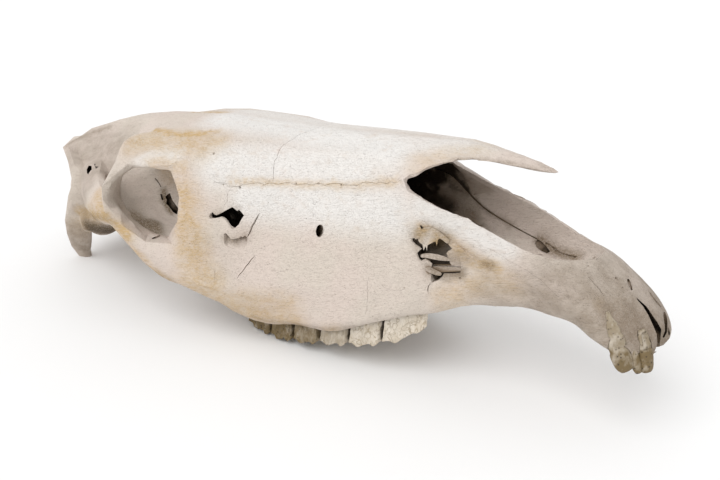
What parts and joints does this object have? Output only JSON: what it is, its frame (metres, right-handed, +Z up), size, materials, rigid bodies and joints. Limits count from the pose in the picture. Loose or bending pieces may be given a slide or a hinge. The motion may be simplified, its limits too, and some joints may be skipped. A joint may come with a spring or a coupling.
{
  "type": "mule skull",
  "caption": "Weathered skull of a mule without its lower jaw, with cheek teeth and some incisors, lying on its back teeth and the tips at the back of its base.",
  "frame": {"origin": "centre of the bounding box's base, on the surface that the skull rests on", "axes": "+X towards the incisors, +Y to the animal's left, +Z up from the surface it rests on"},
  "size_m": [0.5752, 0.2089, 0.1714],
  "materials": {
    "bone": "dry, chalky, weathered",
    "tooth": "worn, slightly polished"
  },
  "bodies": {
    "root": {"cranium": "bone", "tooth_right_P2": "tooth", "tooth_right_P3": "tooth", "tooth_right_P4": "tooth", "tooth_right_M1": "tooth", "tooth_right_M2": "tooth", "tooth_right_M3": "tooth", "tooth_left_P2": "tooth", "tooth_left_P3": "tooth", "tooth_left_P4": "tooth", "tooth_left_M1": "tooth", "tooth_left_M2": "tooth", "tooth_left_M3": "tooth", "incisor_right_third": "tooth", "incisor_right_second": "tooth"}
  },
  "joints": []
}
